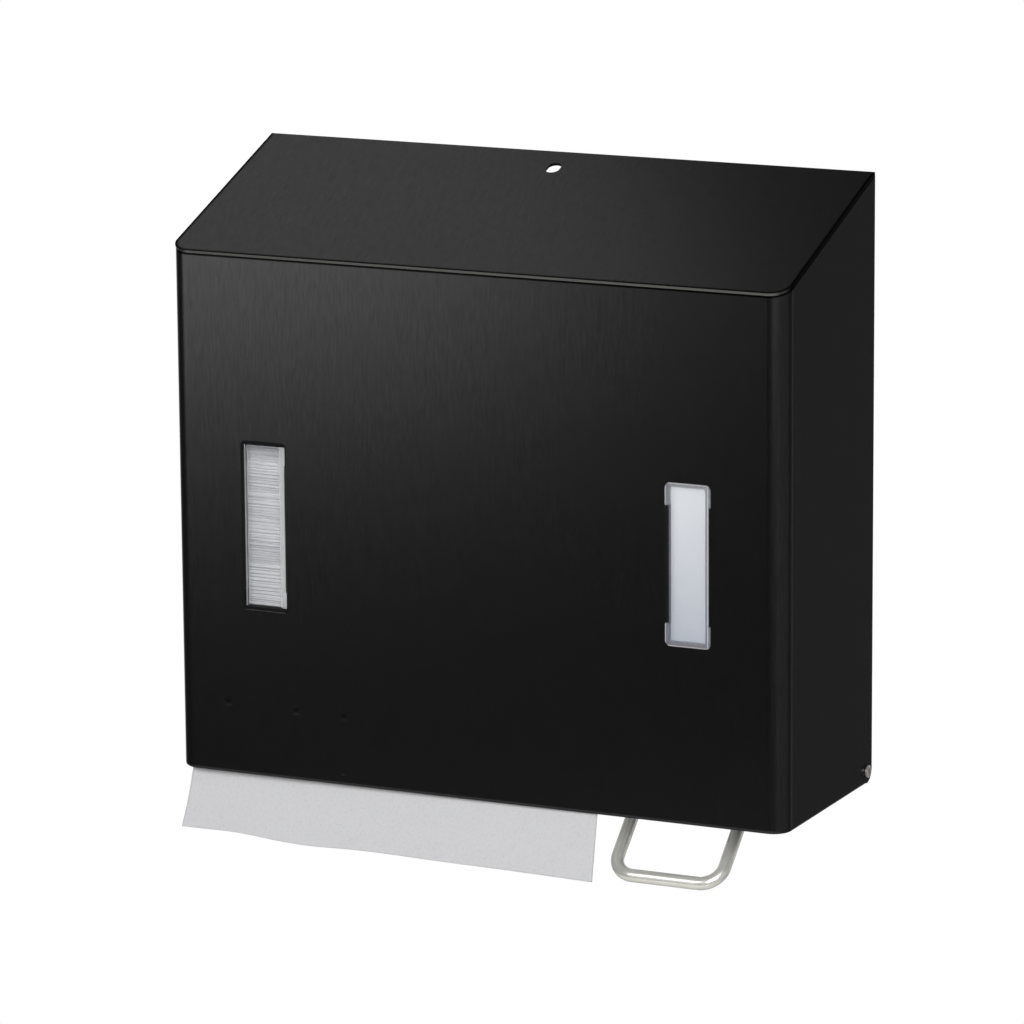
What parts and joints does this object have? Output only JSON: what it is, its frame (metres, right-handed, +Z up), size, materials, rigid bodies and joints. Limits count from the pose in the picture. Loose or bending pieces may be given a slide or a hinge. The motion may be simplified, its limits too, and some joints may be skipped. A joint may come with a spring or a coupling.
{
  "type": "paper towel and soap dispenser",
  "caption": "Wall dispenser for folded paper towels and liquid soap: black brushed steel cover with sloping top, window slots, hanging towel and push bail.",
  "frame": {"origin": "middle of the four wall screws, on the wall plane", "axes": "+Z up, +Y into the wall, +X to the right seen from the front"},
  "size_m": [0.3694, 0.1332, 0.3816],
  "materials": {
    "black_steel": "black coated stainless sheet, brushed upright",
    "bare_steel": "bare stainless steel",
    "zinc_steel": "zinc plated steel",
    "spring_steel": "drawn spring wire",
    "bail_steel": "satin stainless rod",
    "clear_plastic": "clear moulded acrylic",
    "label_card": "plain white card",
    "nylon": "natural nylon",
    "paper": "white tissue paper",
    "tank_plastic": "white polyethylene",
    "pump_plastic": "white acetal",
    "grey_plastic": "grey moulded plastic",
    "rubber": "black rubber"
  },
  "bodies": {
    "chassis": {"back_plate": "zinc_steel", "hinge_pins": "bare_steel", "hinge_washers": "nylon", "hinge_nuts": "zinc_steel", "towel_tray": "zinc_steel", "partition": "zinc_steel", "towel_stack": "paper", "hanging_towel": "paper", "latch_bracket": "zinc_steel", "latch_pin": "bare_steel", "latch_spring": "spring_steel", "bracket_rivets": "bare_steel", "pump_bracket": "zinc_steel", "soap_tank": "tank_plastic", "tank_cap": "grey_plastic", "tank_seal": "rubber", "pump_body": "pump_plastic", "pump_screws": "bare_steel", "inlet_ball": "bare_steel", "nozzle_tip": "rubber", "pump_spring": "spring_steel", "axle_bushes": "nylon"},
    "cover": {"cover_wrap": "black_steel", "cover_top": "black_steel", "lock_striker": "bare_steel", "towel_window": "clear_plastic", "soap_window": "clear_plastic", "label_card": "label_card", "towel_guide": "black_steel"},
    "lever": {"lever_bail": "bail_steel", "lever_axle": "zinc_steel", "lever_rocker": "grey_plastic", "rocker_screw": "bare_steel", "axle_clips": "spring_steel"},
    "piston": {"pump_piston": "pump_plastic", "piston_seal": "rubber"},
    "latch": {"latch_pawl": "zinc_steel"}
  },
  "joints": [
    {"name": "cover_hinge", "type": "hinge", "parent": "chassis", "child": "cover", "pos_m": [0, -0.0075, -0.1825], "axis": [1, 0, 0], "range_deg": [0, 85], "deforming": ["hanging_towel"]},
    {"name": "lever_press", "type": "hinge", "parent": "chassis", "child": "lever", "pos_m": [0.104, -0.05, -0.179], "axis": [1, 0, 0], "range_deg": [0, 12], "stiffness_Nm_per_rad": 1.23, "springref_deg": -12.03},
    {"name": "pump_stroke", "type": "slide", "parent": "chassis", "child": "piston", "axis": [0, -1, 0], "range_m": [0, 0.0068], "deforming": ["pump_spring"]},
    {"name": "latch_pivot", "type": "hinge", "parent": "chassis", "child": "latch", "pos_m": [0, -0.007, 0.12201], "axis": [1, 0, 0], "range_deg": [0, 14], "stiffness_Nm_per_rad": 0.2, "springref_deg": -17.19, "deforming": ["latch_spring"]}
  ],
  "couplings": [
    {"joint": "pump_stroke", "follows": "lever_press", "m_per_rad": 0.032}
  ]
}
